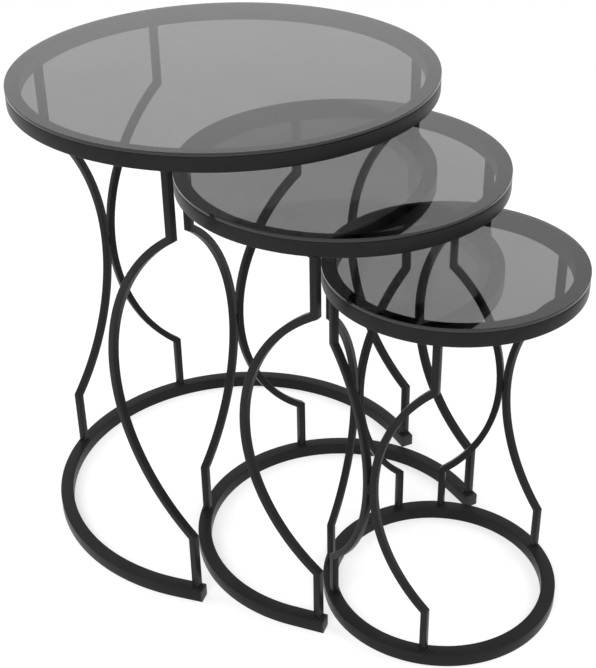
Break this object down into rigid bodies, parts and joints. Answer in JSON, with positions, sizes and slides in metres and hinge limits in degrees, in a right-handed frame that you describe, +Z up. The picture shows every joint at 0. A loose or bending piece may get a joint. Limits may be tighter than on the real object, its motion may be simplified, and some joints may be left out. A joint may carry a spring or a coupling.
{
  "type": "nesting tables",
  "caption": "Round smoked-glass side tables of stepped size on black steel hoop frames with bowed legs, which slide into one another.",
  "frame": {"origin": "centre of the row's footprint, on the floor", "axes": "+X is the way the smaller tables are pulled out, +Y is left when facing +X, +Z is up"},
  "size_m": [0.725, 0.5, 0.595],
  "materials": {
    "smoked_glass": "polished grey-tinted toughened glass with ground edges",
    "black_powder_coat": "fine satin black powder coat on welded steel",
    "black_plastic": "moulded matt black polyethylene"
  },
  "bodies": {
    "large_table": {"large_glass_top": "smoked_glass", "large_top_ring": "black_powder_coat", "large_base_ring": "black_powder_coat", "large_end_plug_left": "black_plastic", "large_end_plug_right": "black_plastic", "large_leg_back_left": "black_powder_coat", "large_leg_back_right": "black_powder_coat", "large_leg_front_left": "black_powder_coat", "large_leg_front_right": "black_powder_coat"},
    "medium_table": {"medium_glass_top": "smoked_glass", "medium_top_ring": "black_powder_coat", "medium_base_ring": "black_powder_coat", "medium_end_plug_left": "black_plastic", "medium_end_plug_right": "black_plastic", "medium_leg_back_left": "black_powder_coat", "medium_leg_back_right": "black_powder_coat", "medium_leg_front_left": "black_powder_coat", "medium_leg_front_right": "black_powder_coat"},
    "small_table": {"small_glass_top": "smoked_glass", "small_top_ring": "black_powder_coat", "small_base_ring": "black_powder_coat", "small_leg_back_left": "black_powder_coat", "small_leg_back_right": "black_powder_coat", "small_leg_side_left": "black_powder_coat", "small_leg_side_right": "black_powder_coat", "small_leg_front_left": "black_powder_coat", "small_leg_front_right": "black_powder_coat"}
  },
  "joints": [
    {"name": "medium_pull", "type": "slide", "parent": "large_table", "child": "medium_table", "axis": [1, 0, 0], "range_m": [-0.176, 0.3]},
    {"name": "small_pull", "type": "slide", "parent": "medium_table", "child": "small_table", "axis": [1, 0, 0], "range_m": [-0.156, 0.2]}
  ]
}
